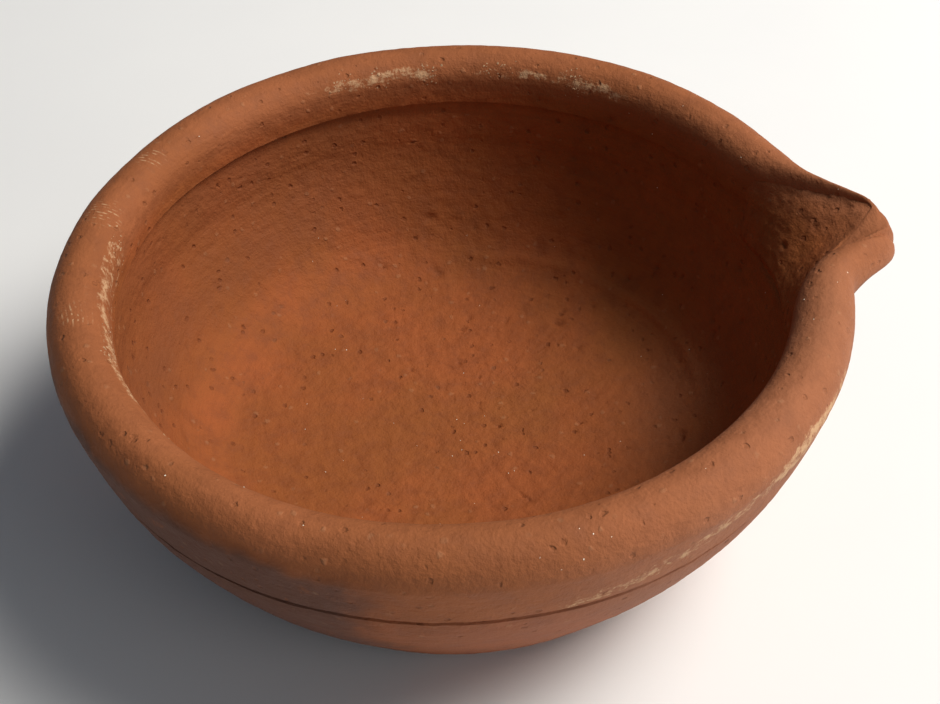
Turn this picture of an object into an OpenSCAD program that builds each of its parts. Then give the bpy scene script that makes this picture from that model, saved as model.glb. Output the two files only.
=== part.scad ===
// Diya: an unglazed terracotta oil lamp, a thick hand-formed bowl with one pinched spout for the wick.
// Frame: millimetres, +Z up, origin at the centre of the flat foot, spout along +X.
// The lamp is four clay members luted together: the saucer, the wall raised on it, the rim coil
// laid on the wall and drawn out into the spout, and the strip pressed into the spout as its bed.

/* [Overall] */
// Height from the foot to the top of the rim
height = 31.5; // [28:0.5:38]
// Radius at the fullest line of the rim coil
belly_r = 40; // [34:0.5:48]

/* [Saucer] */
// Radius of the foot, where the saucer's side begins
foot_r = 26.3; // [22:0.1:31]
// Width of the worn bevel round the foot
foot_bevel = 0.8; // [0.3:0.1:1.5]
// Thickness of the floor at the middle
floor_t = 4.3; // [3:0.1:6]
// Radius of the ridge where the floor turns up into the side
ridge_r = 27.4; // [24:0.1:30]
// Height of that ridge above the middle of the floor
ridge_rise = 2.4; // [1:0.1:3]
// Depth of the seam with the wall, at its outer edge, below the top of the rim
seam_drop = 9; // [7.6:0.1:10.5]
// How far the seam falls from its outer edge to its inner edge
seam_fall = 2.2; // [1:0.1:3]
// Depth of the groove round the seam
groove_depth = 0.7; // [0.3:0.1:1.2]
// Height of the groove
groove_h = 1; // [0.6:0.1:1.5]

/* [Wall] */
// How far the outside of the wall's top lies inside the belly
wall_inset = 0.4; // [0.2:0.1:0.8]
// How far the wall leans out from its foot to its top
wall_lean = 0.8; // [0:0.1:1.5]
// Thickness of the wall at the seam with the saucer
wall_t = 4.5; // [3.6:0.1:5]
// Thickness of the wall's top, which the rim coil sits on
wall_top_t = 4.9; // [4:0.1:5.2]

/* [Rim coil] */
// Width of the rim coil
rim_w = 6; // [5.5:0.1:7.2]
// Height of the rim coil
rim_h = 5.6; // [4.6:0.1:6.8]
// Depth of the coil's fullest line below its top
rim_belly_drop = 3.5; // [2.8:0.1:4.2]
// Depth of the coil's inner edge below its top
rim_lip_drop = 2.9; // [1.5:0.1:3.6]

/* [Spout] */
// How far the spout's tip stands out from the belly
spout_reach = 5.8; // [3:0.1:7.5]
// Angle over which the rim is drawn out on the +Y side, where it sweeps in gently
spout_far_angle = 15; // [11:0.5:22]
// Angle over which the rim is drawn out on the -Y side, where it turns out sharply
spout_near_angle = 12; // [10:0.5:22]
// Depth of the tip below the top of the rim
tip_drop = 0.8; // [0:0.1:1.6]
// Sideways place of the wick channel, from the middle of the spout
channel_shift = 2.6; // [-3:0.2:3]
// Half the angle of the channel where it leaves the bowl
channel_half_angle = 22; // [18:0.5:26]
// Clay left between the channel's end and the tip
tip_wall = 1.9; // [1.2:0.1:2.6]
// Thickness of the wall under the spout
spout_wall_t = 2.6; // [2:0.1:3]
// Half the angle that the bed covers
bed_half_angle = 17; // [12:0.5:18]
// Thickness of the bed at its foot, on the inner edge of the seam
bed_t = 0.4; // [0.3:0.1:0.8]
// Step from the coil's inner edge down to the bed
bed_sink = 0.2; // [0.1:0.1:0.6]

/* [Hidden] */

// Heights of the seams
seat_z = height - rim_h;
seam_z = height - seam_drop;
seam_in_z = seam_z - seam_fall;

// Radii of the wall, and of the saucer where it meets the wall
wall_top_r = belly_r - wall_inset;
wall_foot_r = wall_top_r - wall_lean;
seam_in_r = wall_foot_r - wall_t;
groove_r = wall_foot_r - groove_depth;
groove_top_z = seam_z - seam_fall * groove_depth / wall_t;
saucer_r = wall_foot_r - groove_depth / 2;

// Reach of the wick channel, from the coil's plain inner face to the channel's end
channel_reach = spout_reach + rim_w - tip_wall;

// Stations round the bowl, close together at the channel and wider apart behind it
half_stations = 60;
station_spread = 1.7;
channel_middle = asin(channel_shift / belly_r);
stations = [for (i = [1 - half_stations : half_stations])
    channel_middle + 180 * sign(i) * pow(abs(i) / half_stations, station_spread)];
bed_stations = [for (a = stations) if (abs(a - channel_middle) < bed_half_angle) a];

// Steps of the curves in each outline
side_steps = 12;
wall_steps = 6;
roll_steps = 6;
lip_steps = 3;

// Least width of a facet where the coil's inner edge crosses the wall's
least_step = 0.1;

// Exponents that bend the saucer's side, its inside, the channel's plan and the bed's rise
side_bend = 1.31;
inside_bend = 1.5;
channel_bend = 2.5;
bed_bend = 1.7;

function mix(a, b, t) = a + (b - a) * t;
function smooth(t) = t <= 0 ? 0 : t >= 1 ? 1 : t * t * (3 - 2 * t);
function bent(t, bend) = 1 - pow(1 - t, bend);

// Share of the spout's reach that the outside of the coil has at an angle
function drawn(a) = let (width = a > 0 ? spout_far_angle : spout_near_angle)
    abs(a) >= width ? 0 : pow(cos(90 * a / width), 2);
// Share of the channel's reach that its side has at an angle
function opened(a) = pow(max(0, 1 - abs(a - channel_middle) / channel_half_angle), channel_bend);

// Faces of the rim coil
function coil_top(a) = height - tip_drop * drawn(a);
function coil_in(a) = belly_r - rim_w + channel_reach * opened(a);
function coil_out(a) = belly_r + spout_reach * drawn(a);
function coil_lip_z(a) = coil_top(a) - mix(rim_lip_drop, bed_sink, opened(a));

// Faces of the wall: the swelling under the spout dies away at the seam
function swell(z) = smooth((z - seam_z) / (rim_h - rim_belly_drop + seat_z - seam_z));
function wall_out(a, z) = mix(wall_foot_r, wall_top_r, (z - seam_z) / (seat_z - seam_z))
    + spout_reach * drawn(a) * swell(z);
function wall_in(a, z) = let (t = smooth((z - seam_in_z) / (seat_z - seam_in_z)))
    min(mix(seam_in_r, wall_top_r - wall_top_t, t) + channel_reach * opened(a) * t,
        wall_out(a, max(z, seam_z)) - spout_wall_t);

// Inner edge of the coil on its seat, never so close to the wall's own edge that a facet has no width
function coil_foot(a) = let (edge = wall_in(a, seat_z), step = coil_in(a) - edge)
    edge + (step < 0 ? -1 : 1) * max(abs(step), least_step);

// Sections at a station, as [radius, height], anticlockwise
function coil_section(a) = let (top = coil_top(a), crest_r = mix(coil_in(a), coil_out(a), 0.5))
    concat(
        [[coil_foot(a), seat_z], [wall_out(a, seat_z), seat_z]],
        [for (i = [0 : roll_steps]) let (t = 90 * i / roll_steps)
            [mix(crest_r, coil_out(a), cos(t)), mix(top - rim_belly_drop, top, sin(t))]],
        [for (i = [1 : roll_steps]) let (t = 90 * i / roll_steps)
            [mix(crest_r, coil_in(a), sin(t)), mix(coil_lip_z(a), top, cos(t))]]);

function wall_section(a) = concat(
    [for (i = [0 : wall_steps]) let (z = mix(seam_z, seat_z, i / wall_steps)) [wall_out(a, z), z]],
    [for (i = [0 : wall_steps]) let (z = mix(seat_z, seam_in_z, i / wall_steps)) [wall_in(a, z), z]]);

// The bed backs onto the wall and the coil, and its face curves out from its foot to the coil's lip
function bed_section(a) = let (edge_z = coil_lip_z(a) - bed_sink, rise = edge_z - seam_in_z)
    concat(
        [for (i = [0 : wall_steps]) let (z = mix(seam_in_z, seat_z, i / wall_steps)) [wall_in(a, z), z]],
        [[coil_foot(a), seat_z], [coil_in(a), edge_z]],
        [for (z = concat([for (i = [lip_steps - 1 : -1 : 1]) mix(seat_z, edge_z, i / lip_steps)],
                         [for (i = [wall_steps : -1 : 0]) mix(seam_in_z, seat_z, i / wall_steps)]))
            [mix(seam_in_r - bed_t, coil_in(a), pow((z - seam_in_z) / rise, bed_bend)), z]]);

// Faces that close an end of the bed: level by level up the wall, then a fan from the coil's edge
bed_points = 2 * wall_steps + lip_steps + 3;
bed_seat = bed_points - 1 - wall_steps;
bed_end = concat(
    [for (i = [0 : wall_steps - 2]) [i, i + 1, bed_points - 2 - i, bed_points - 1 - i]],
    [[wall_steps - 1, wall_steps, wall_steps + 1]],
    [[wall_steps - 1, wall_steps + 1, bed_seat, bed_seat + 1]],
    [for (i = [wall_steps + 2 : bed_seat - 1]) [wall_steps + 1, i, i + 1]]);

// Solid through the sections at a list of stations: its ends are joined, or closed by the faces of an end
module through(angles, sections, end = []) {
    count = len(sections[0]);
    last = len(angles) - 1;
    points = [for (i = [0 : last], p = sections[i])
        [p[0] * cos(angles[i]), p[0] * sin(angles[i]), p[1]]];
    sides = [for (i = [0 : len(end) == 0 ? last : last - 1], j = [0 : count - 1], half = [0, 1])
        let (k = (i + 1) % len(angles), m = (j + 1) % count)
            half == 0 ? [i * count + j, i * count + m, k * count + m]
                      : [i * count + j, k * count + m, k * count + j]];
    first_end = [for (face = end) [for (j = [len(face) - 1 : -1 : 0]) face[j]]];
    last_end = [for (face = end) [for (j = face) last * count + j]];
    polyhedron(points, concat(sides, first_end, last_end));
}

// Foot, floor and lower side, up to the groove
module saucer() {
    side_top_z = groove_top_z - groove_h;
    floor_z = floor_t + ridge_rise;
    color([0.52, 0.25, 0.17]) rotate_extrude($fn = 180) polygon(concat(
        [[0, 0], [foot_r - foot_bevel, 0]],
        [for (i = [1 : side_steps]) let (t = i / side_steps)
            [mix(foot_r, saucer_r, bent(t, side_bend)), side_top_z * t]],
        [[groove_r, side_top_z + groove_h / 2], [groove_r, groove_top_z], [seam_in_r, seam_in_z]],
        [for (i = [side_steps - 1 : -1 : 0]) let (t = i / side_steps)
            [mix(ridge_r, seam_in_r, bent(t, inside_bend)), mix(floor_z, seam_in_z, t)]],
        [for (i = [side_steps - 1 : -1 : 0]) let (t = i / side_steps)
            [ridge_r * t, floor_t + ridge_rise * t * t]]));
}

// Ring of wall between the saucer and the rim coil, swelling out under the spout
module bowl_wall() {
    color([0.60, 0.32, 0.20])
        through(stations, [for (a = stations) wall_section(a)]);
}

// Rolled rim, drawn out and thinned at the spout
module rim_coil() {
    color([0.70, 0.42, 0.27])
        through(stations, [for (a = stations) coil_section(a)]);
}

// Strip that lines the wick channel and rises to the tip between the lips
module spout_bed() {
    color([0.45, 0.22, 0.14])
        through(bed_stations, [for (a = bed_stations) bed_section(a)], end = bed_end);
}

saucer();
bowl_wall();
rim_coil();
spout_bed();
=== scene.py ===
"""A hand-formed clay oil lamp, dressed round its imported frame.

The lamp is four clay members luted together: the saucer, the wall raised on it, the rim coil and the
bed pressed into the spout. Each member is turned from its own outline and drawn out into the spout by
the rules of LampForm. One MakerHand then works over all of them, so that the clay runs on from piece to
piece, and grit, crumbs and mica flecks are set into its surface.
"""

import logging
import math
import random
from dataclasses import dataclass, field
from enum import Enum
from typing import Callable

import bmesh
import bpy
from mathutils import Matrix, Vector, noise


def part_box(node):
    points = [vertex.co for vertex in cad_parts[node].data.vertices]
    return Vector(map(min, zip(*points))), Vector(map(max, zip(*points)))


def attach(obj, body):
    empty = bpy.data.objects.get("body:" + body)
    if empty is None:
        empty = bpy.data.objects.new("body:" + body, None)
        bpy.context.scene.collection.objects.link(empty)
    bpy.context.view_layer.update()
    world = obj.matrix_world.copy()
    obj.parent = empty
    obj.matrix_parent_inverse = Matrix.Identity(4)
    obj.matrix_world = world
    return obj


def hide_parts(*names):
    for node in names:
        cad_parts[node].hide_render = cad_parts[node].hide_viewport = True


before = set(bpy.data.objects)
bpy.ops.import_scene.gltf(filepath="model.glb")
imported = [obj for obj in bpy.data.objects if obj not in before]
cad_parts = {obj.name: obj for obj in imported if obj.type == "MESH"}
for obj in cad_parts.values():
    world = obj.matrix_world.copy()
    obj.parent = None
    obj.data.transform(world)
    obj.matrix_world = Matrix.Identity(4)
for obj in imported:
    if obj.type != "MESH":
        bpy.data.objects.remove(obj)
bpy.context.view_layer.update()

MM = 0.001
BODY = "root"
SPIN_STEPS = 60
CUTS_PER_STEP = 8
CROWDING = 0.45
SHARP_ANGLE = 45.0
RIDGE_PITCH = 0.45 * MM
LOG = logging.getLogger("lamp")

Outline = list[tuple[float, float]]
Colour = tuple[float, float, float]
Socket = bpy.types.NodeSocket


class Member(Enum):
    """The clay members, by the name of the CAD node that each stands for."""

    SAUCER = "saucer"
    WALL = "bowl_wall"
    COIL = "rim_coil"
    BED = "spout_bed"


class Slot(Enum):
    """The record's material slots."""

    SAUCER = "saucer_clay"
    WALL = "wall_clay"
    RIM = "rim_clay"
    BED = "bed_clay"


class Mask(Enum):
    """Marks that are kept on a piece's points and read by its clay."""

    PALE = "pale"
    # Kiln soot and painted shade: shaded parts of the inside and the outside's lower left are darkened.
    SOOT_AND_SHADE = "soot_and_shade"
    # Painted shade in the pits, gouges and the tip's fold.
    PIT_SHADE = "pit"
    # Dust with painted sheen and bounce light on the outside's right.
    BLOOM = "dust_and_painted_light"
    INNER = "inner"


def mix(a: float, b: float, t: float) -> float:
    """Return the value a share t of the way from a to b."""
    return a + (b - a) * t


def smooth(t: float) -> float:
    """Return a soft step from 0 to 1 as t goes from 0 to 1."""
    t = min(1.0, max(0.0, t))
    return t * t * (3.0 - 2.0 * t)


def hump(x: float, middle: float, half_width: float) -> float:
    """Return a soft hump, 1 at the middle and 0 beyond its half width."""
    return smooth(1.0 - abs(x - middle) / half_width)


def turn_between(a: float, b: float) -> float:
    """Return the signed angle from b to a, in degrees, from -180 to 180."""
    return (a - b + 180.0) % 360.0 - 180.0


def polar(point: Vector) -> tuple[float, float]:
    """Return a point's angle round the bowl, in degrees, and its radius."""
    return math.degrees(math.atan2(point.y, point.x)), math.hypot(point.x, point.y)


def around(angle: float, radius: float, z: float) -> Vector:
    """Return the point at an angle round the bowl, in degrees, a radius and a height."""
    turn = math.radians(angle)
    return Vector((radius * math.cos(turn), radius * math.sin(turn), z))


def refined(outline: Outline, spacing: float) -> Outline:
    """Split an outline's long stretches.

    Args:
        outline: Points as (radius, height), in order.
        spacing: The longest stretch that is left between two points.

    Returns:
        The outline with points added along its stretches.
    """
    points = [outline[0]]
    for (r0, z0), (r1, z1) in zip(outline, outline[1:]):
        count = max(1, math.ceil(math.hypot(r1 - r0, z1 - z0) / spacing))
        points += [(mix(r0, r1, i / count), mix(z0, z1, i / count)) for i in range(1, count + 1)]
    return points


@dataclass
class LampForm:
    """Where the lamp's clay surfaces lie, in metres and degrees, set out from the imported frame."""

    foot_r: float = 26.3 * MM
    foot_bevel: float = 0.8 * MM
    floor_t: float = 4.3 * MM
    ridge_r: float = 27.4 * MM
    ridge_rise: float = 2.4 * MM
    seam_fall: float = 2.2 * MM
    groove_depth: float = 0.7 * MM
    groove_h: float = 0.6 * MM
    wall_inset: float = 0.4 * MM
    wall_lean: float = 0.8 * MM
    wall_t: float = 4.5 * MM
    wall_top_t: float = 4.9 * MM
    rim_w: float = 6.0 * MM
    belly_drop: float = 3.5 * MM
    lip_drop: float = 2.9 * MM
    far_angle: float = 15.0
    near_angle: float = 12.0
    far_bend: float = 2.7
    tip_drop: float = 0.8 * MM
    channel_shift: float = 2.6 * MM
    channel_half_angle: float = 22.0
    channel_round: float = 1.2
    tip_wall: float = 1.9 * MM
    spout_wall_t: float = 2.6 * MM
    bed_half_angle: float = 17.0
    bed_t: float = 0.4 * MM
    bed_sink: float = 0.2 * MM
    side_bend: float = 1.31
    inside_bend: float = 1.5
    channel_bend: float = 2.5
    bed_bend: float = 1.7
    press_x: float = 37 * MM
    press_low: float = 2.9 * MM
    press_high: float = 1.35 * MM

    def __post_init__(self) -> None:
        """Take the driving sizes from the frame's boxes."""
        rim_low, rim_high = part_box(Member.COIL.value)
        wall_low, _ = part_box(Member.WALL.value)
        self.height = rim_high.z
        self.seat_z = rim_low.z
        self.belly_r = -rim_low.x
        self.spout_reach = rim_high.x - self.belly_r
        self.seam_in_z = wall_low.z
        self.seam_z = self.seam_in_z + self.seam_fall
        self.wall_top_r = self.belly_r - self.wall_inset
        self.wall_foot_r = self.wall_top_r - self.wall_lean
        self.seam_in_r = self.wall_foot_r - self.wall_t
        self.groove_r = self.wall_foot_r - self.groove_depth
        self.groove_top_z = self.seam_z - self.seam_fall * self.groove_depth / self.wall_t
        self.saucer_r = self.wall_foot_r - self.groove_depth / 2
        self.saucer_top_z = self.groove_top_z - self.groove_h
        self.floor_z = self.floor_t + self.ridge_rise
        self.lip_in_r = self.belly_r - self.rim_w
        self.channel_middle = math.degrees(math.asin(self.channel_shift / self.belly_r))
        self.channel_reach = self.spout_reach + self.rim_w - self.tip_wall

    def drawn(self, angle: float) -> float:
        """Return the share of the spout's reach that the outside has at an angle."""
        width, bend = (self.far_angle, self.far_bend) if angle > 0 else (self.near_angle, 2.0)
        return 0.0 if abs(angle) >= width else math.cos(math.radians(90.0 * angle / width)) ** bend

    def opened(self, angle: float) -> float:
        """Return the share of the channel's reach that its side has at an angle."""
        away = math.hypot(turn_between(angle, self.channel_middle), self.channel_round) - self.channel_round
        return max(0.0, 1.0 - away / self.channel_half_angle) ** self.channel_bend

    def swell(self, z: float) -> float:
        """Return the share of the spout's swelling that the wall has at a height."""
        return smooth((z - self.seam_z) / (self.height - self.belly_drop - self.seam_z))

    def coil_top(self, angle: float) -> float:
        """Return the height of the rim's crest."""
        return self.height - self.tip_drop * self.drawn(angle)

    def coil_in(self, angle: float) -> float:
        """Return the radius of the rim's inner face."""
        return self.lip_in_r + self.channel_reach * self.opened(angle)

    def coil_roll(self, angle: float, z: float) -> float:
        """Find the rim's inner roll.

        Args:
            angle: The angle round the bowl, in degrees.
            z: A height above the rim's lip.

        Returns:
            The roll's radius at that height.
        """
        lip, top = self.coil_lip_z(angle), self.coil_top(angle)
        climb = min(1.0, max(0.0, (z - lip) / (top - lip)))
        crest = (self.coil_in(angle) + self.coil_out(angle)) / 2
        return mix(crest, self.coil_in(angle), math.sqrt(1.0 - climb * climb))

    def coil_out(self, angle: float) -> float:
        """Return the radius of the rim at its belly."""
        return self.belly_r + self.spout_reach * self.drawn(angle)

    def coil_lip_z(self, angle: float) -> float:
        """Return the height where the rim's roll ends on its inner face."""
        return self.coil_top(angle) - mix(self.lip_drop, self.bed_sink, self.opened(angle))

    def wall_out(self, angle: float, z: float) -> float:
        """Return the radius of the wall's outer face."""
        leaning = mix(self.wall_foot_r, self.wall_top_r, (z - self.seam_z) / (self.seat_z - self.seam_z))
        return leaning + self.spout_reach * self.drawn(angle) * self.swell(z)

    def wall_in(self, angle: float, z: float) -> float:
        """Find the wall's inner face.

        Args:
            angle: The angle round the bowl, in degrees.
            z: A height within the wall.

        Returns:
            The face's radius at that height.
        """
        t = smooth((z - self.seam_in_z) / (self.seat_z - self.seam_in_z))
        plain = mix(self.seam_in_r, self.wall_top_r - self.wall_top_t, t)
        reach = self.channel_reach * self.opened(angle) * t
        return min(plain + reach, self.wall_out(angle, max(z, self.seam_z)) - self.spout_wall_t)

    def pressed(self, point: Vector, settled: float) -> float:
        """Work out how far the tip's far lobe is pressed down, so that the channel runs out over it.

        Args:
            point: The point, before it is moved.
            settled: How far below the pressed face this member lies.

        Returns:
            How far the point moves down.
        """
        if point.x < self.press_x or point.z < self.seat_z + 0.5 * MM:
            return 0.0
        angle, _ = polar(point)
        fold = 0.42 * (point.x - 37.4 * MM) - 3.9 * MM
        beside = smooth((point.y - fold) / (0.75 * MM)) * smooth((5.5 - angle) / 3.0)
        climb = smooth((point.x - 38 * MM) / (6 * MM))
        level = mix(self.height - self.press_low, self.height - self.press_high, climb)
        return beside * max(0.0, point.z - level + settled)

    def core(self, angle: float) -> Outline:
        """Find the line along the middle of the clay's thickness.

        Args:
            angle: The angle round the bowl, in degrees.

        Returns:
            The line, from the middle of the floor up to the rim.
        """
        drift = mix(self.coil_in(angle), self.coil_out(angle), 0.5) - (self.belly_r - self.rim_w / 2)
        return [
            (0.0, self.floor_t / 2),
            (self.foot_r * 0.85, self.floor_t * 0.75),
            (self.ridge_r + self.floor_t * 0.7, self.seam_in_z / 2),
            ((self.seam_in_r + self.wall_foot_r) / 2, mix(self.seam_in_z, self.seam_z, 0.5)),
            (self.belly_r - self.rim_w / 2 + drift, self.height - self.lip_drop),
        ]


def away_from(core: Outline, r: float, z: float) -> tuple[float, float, float]:
    """Find which way the surface faces at a point of a section.

    Args:
        core: The line along the middle of the clay.
        r: The point's radius.
        z: The point's height.

    Returns:
        The radial and upward parts of the way out of the clay, and +1 inside the bowl or -1 outside it.
    """
    best = (math.inf, 0.0, 1.0, 1.0)
    for (r0, z0), (r1, z1) in zip(core, core[1:]):
        along_r, along_z = r1 - r0, z1 - z0
        t = ((r - r0) * along_r + (z - z0) * along_z) / (along_r**2 + along_z**2)
        t = min(1.0, max(0.0, t))
        off_r, off_z = r - r0 - t * along_r, z - z0 - t * along_z
        gap = math.hypot(off_r, off_z)
        if gap < best[0]:
            best = (gap, off_r, off_z, math.copysign(1.0, along_r * off_z - along_z * off_r))
    gap, off_r, off_z, side = best
    gap = max(gap, 1e-6)
    return off_r / gap, off_z / gap, side


@dataclass(frozen=True)
class Gouge:
    """A pit or drag mark left in one place, longest along the way that the wheel turned."""

    place: Vector
    along: float
    across: float
    depth: float

    def depth_at(self, point: Vector, angle: float) -> float:
        """Find how deep the mark is.

        Args:
            point: A point of the clay.
            angle: The point's angle round the bowl, in degrees.

        Returns:
            The depth at the point, which is 0 away from the mark.
        """
        gap = point - self.place
        if gap.length_squared > self.along * self.along:
            return 0.0
        turn = math.radians(angle)
        sideways = gap.y * math.cos(turn) - gap.x * math.sin(turn)
        rest = math.sqrt(max(0.0, gap.length_squared - sideways**2))
        ragged = 1.0 + 0.45 * noise.noise(point / (0.5 * MM))
        return self.depth * smooth((1.0 - math.hypot(sideways / self.along, rest / self.across)) * ragged)


@dataclass
class MakerHand:
    """What the maker's hands, the wheel and the kiln leave on the clay, with the shade and light that are
    painted into its colour.
    """

    form: LampForm
    wobble: float = 0.30 * MM
    wheel_relief: float = 0.035 * MM
    grain_in: float = 0.085 * MM
    grain_out: float = 0.045 * MM
    pit_depth: float = 0.3 * MM
    pit_spacing: float = 2.3 * MM
    crease_depth: float = 0.55 * MM
    crack_depth: float = 0.9 * MM
    ridge_lift: float = 0.2 * MM
    # Gouge depth that gives a gouge full painted shade.
    gouge_shade_depth: float = 0.3 * MM
    rim_from: float = 28.6 * MM
    gouges: list[Gouge] = field(default_factory=list)

    def __post_init__(self) -> None:
        """Set the larger marks inside the bowl and on the rim, each at an angle, a radius and a height."""
        ridge = self.form.ridge_r
        rise = self.form.floor_z
        lip = self.form.lip_in_r
        self.gouges = [
            Gouge(around(123, ridge, rise), 1.7 * MM, 0.6 * MM, 0.5 * MM),
            Gouge(around(118, 25 * MM, 6.3 * MM), 0.7 * MM, 0.5 * MM, 0.4 * MM),
            Gouge(around(91, 30.6 * MM, 11.4 * MM), 1.3 * MM, 0.7 * MM, 0.45 * MM),
            Gouge(around(88, 30.0 * MM, 10.2 * MM), 0.9 * MM, 0.5 * MM, 0.4 * MM),
            Gouge(around(77, ridge, rise), 1.1 * MM, 0.6 * MM, 0.45 * MM),
            Gouge(around(49, 20.8 * MM, 5.7 * MM), 1.2 * MM, 0.8 * MM, 0.45 * MM),
            Gouge(around(25, ridge, rise), 1.4 * MM, 0.7 * MM, 0.5 * MM),
            Gouge(around(-12, 24.7 * MM, 6.3 * MM), 1.6 * MM, 0.7 * MM, 0.5 * MM),
            Gouge(around(-84, lip, 29.4 * MM), 0.9 * MM, 0.8 * MM, 0.7 * MM),
            Gouge(around(-139, 14.0 * MM, 5.0 * MM), 1.0 * MM, 0.9 * MM, 0.3 * MM),
        ]

    def slow_shape(self, point: Vector) -> float:
        """Return how far the hand-formed clay strays from true at a point, out of the clay."""
        return self.wobble * (noise.noise(point / (26 * MM)) + 0.35 * noise.noise(point / (9 * MM)))

    def wheel_lines(self, point: Vector, angle: float, radius: float) -> float:
        """Find the fine lines that fingers leave as the bowl turns.

        Args:
            point: The point, before it is moved.
            angle: Its angle round the bowl, in degrees.
            radius: Its radius.

        Returns:
            The lines' height at the point.
        """
        turn = math.radians(angle)
        climb = (point.z + 0.6 * radius) / (0.9 * MM)
        slow = Vector((1.4 * math.cos(turn), 1.4 * math.sin(turn), climb))
        broad = Vector((0.7 * math.cos(turn), 0.7 * math.sin(turn), climb / 4))
        return self.wheel_relief * (0.6 * noise.noise(slow) + noise.noise(broad))

    def pits(self, point: Vector) -> float:
        """Find the small pits scattered over the clay.

        Args:
            point: The point, before it is moved.

        Returns:
            How deep a pit is at the point, from 0 to 1.
        """
        gaps, centres = noise.voronoi(point / self.pit_spacing)
        pick = noise.cell(centres[0] * 53.7)
        if pick < 0.1:
            return 0.0
        reach = mix(0.1, 0.24, pick) * (1.0 + 0.5 * noise.noise(point / (0.45 * MM)))
        return smooth(1.3 * (1.0 - gaps[0] / max(reach, 0.02)))

    def crease(self, point: Vector) -> float:
        """Find the fold across the tip between its two lobes.

        Args:
            point: The point, before it is moved.

        Returns:
            How deep the fold is at the point, from 0 to 1.
        """
        start, end = Vector((38.6, -3.45)) * MM, Vector((47.4, 0.1)) * MM
        run = end - start
        flat = Vector((point.x, point.y)) - start
        t = flat.dot(run) / run.length_squared
        if not 0.0 < t < 1.0:
            return 0.0
        wander = 0.12 * MM * noise.noise(point / (1.1 * MM))
        gap = abs(flat.x * run.y - flat.y * run.x) / run.length + wander
        high = smooth((point.z - self.form.seat_z) / (2 * MM))
        return high * smooth(t * 2.2) * smooth(1.0 - gap / (mix(0.25, 0.75, t) * MM))

    def relief(self, point: Vector, side: float) -> tuple[float, float]:
        """Work out the marks at a point of the surface.

        Args:
            point: The point, before it is moved.
            side: +1 inside the bowl and -1 outside it.

        Returns:
            How far the clay moves out at the point, and how much shade is painted into its pit, gouge or
            fold, from 0 to 1.
        """
        angle, radius = polar(point)
        on_rim = smooth((point.z - 26.0 * MM) / (3.0 * MM))
        inside = 1.0 if side > 0 else 0.0
        rough = mix(mix(self.grain_out, self.grain_in, inside), self.grain_out * 0.7, on_rim)
        grain = noise.fractal(point / (1.3 * MM), 0.8, 2.1, 3)
        pit = self.pits(point) * mix(mix(0.25, 1.0, inside), 0.2, on_rim)
        move = self.slow_shape(point) + rough * grain
        move += self.wheel_lines(point, angle, radius) * mix(1.0, 0.5, on_rim)
        move -= self.pit_depth * pit
        if side > 0 and -15.0 < angle < 95.0:
            wander = 0.5 * MM * noise.noise(point / (5 * MM))
            shown = smooth((52.0 - abs(angle - 41.0)) / 20.0)
            move += self.ridge_lift * hump(radius + wander, self.form.ridge_r, 0.8 * MM) * shown
        gouged = max(gouge.depth_at(point, angle) for gouge in self.gouges)
        creased = self.crease(point) if point.x > 38 * MM else 0.0
        move -= gouged + self.crease_depth * creased
        # The second value is painted shade for the pits, gouges and the fold.
        return move, min(1.0, pit + gouged / self.gouge_shade_depth + 0.6 * creased)

    def pale(self, point: Vector, side: float) -> float:
        """Find the pale slip that is rubbed on the clay.

        Args:
            point: The point, before it is moved.
            side: +1 inside the bowl and -1 outside it.

        Returns:
            How much slip is at the point, from 0 to 1.
        """
        angle, radius = polar(point)
        form = self.form
        lip = hump(radius, form.lip_in_r + 0.5 * MM, 1.7 * MM)
        lip *= hump(point.z, form.height - 1.7 * MM, 2.2 * MM)
        lip *= smooth(1.2 * noise.noise(point / (5 * MM)) + 0.75)
        back = lip * smooth((46.0 - abs(turn_between(angle, 80.0))) / 20.0)
        left = 0.9 * hump(radius, form.lip_in_r + 0.3 * MM, 1.3 * MM)
        left *= smooth((30.0 - abs(turn_between(angle, -170.0))) / 12.0)
        left *= smooth((point.z - 26.5 * MM) / (1.0 * MM))
        streak = 0.0
        if side < 0 and -100.0 < angle < -15.0:
            climb = mix(22.8 * MM, 28.4 * MM, smooth((angle + 85.0) / 45.0))
            band = hump(point.z, climb, 2.9 * MM)
            band *= smooth((angle + 95.0) / 20.0) * smooth((-18.0 - angle) / 14.0)
            patch = hump(angle, -42.0, 9.0) * hump(point.z, 27.6 * MM, 2.6 * MM)
            streak = 0.95 * band + 0.7 * patch
        return min(1.0, back + left + streak)

    def dust_and_painted_light(self, point: Vector, side: float) -> float:
        """Find the dust and painted light on the clay: a pale pinkish tint, thickest low on the outside to
        the spout's right, which stands in for sheen and bounce light there.

        Args:
            point: The point, before it is moved.
            side: +1 inside the bowl and -1 outside it.

        Returns:
            How much dust and painted light the point has, from 0 to 1.
        """
        angle, _ = polar(point)
        outer = 1.0 if side < 0 else smooth((point.z - self.rim_from) / (1.6 * MM))
        turned = smooth((75.0 - abs(turn_between(angle, -25.0))) / 55.0)
        low = smooth((self.form.height - point.z) / (6 * MM))
        patchy = 0.8 + 0.7 * noise.noise(point / (9 * MM))
        return min(1.0, outer * turned * mix(0.3, 1.0, low) * patchy)

    def soot_and_shade(self, point: Vector, side: float) -> float:
        """Find how much the clay is darkened: painted shade inside the bowl, and kiln soot with painted
        shade low on the outside.

        Args:
            point: The point, before it is moved.
            side: +1 inside the bowl and -1 outside it.

        Returns:
            How much soot and painted shade the point has, from 0 to 1.
        """
        angle, radius = polar(point)
        if side > 0:
            # Painted shadow inside, under the spout, where the right rim's shadow falls on the floor.
            shade_by_spout = 0.42 * hump(angle, -4.0, 55.0) * hump(radius, 25 * MM, 15 * MM)
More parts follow.
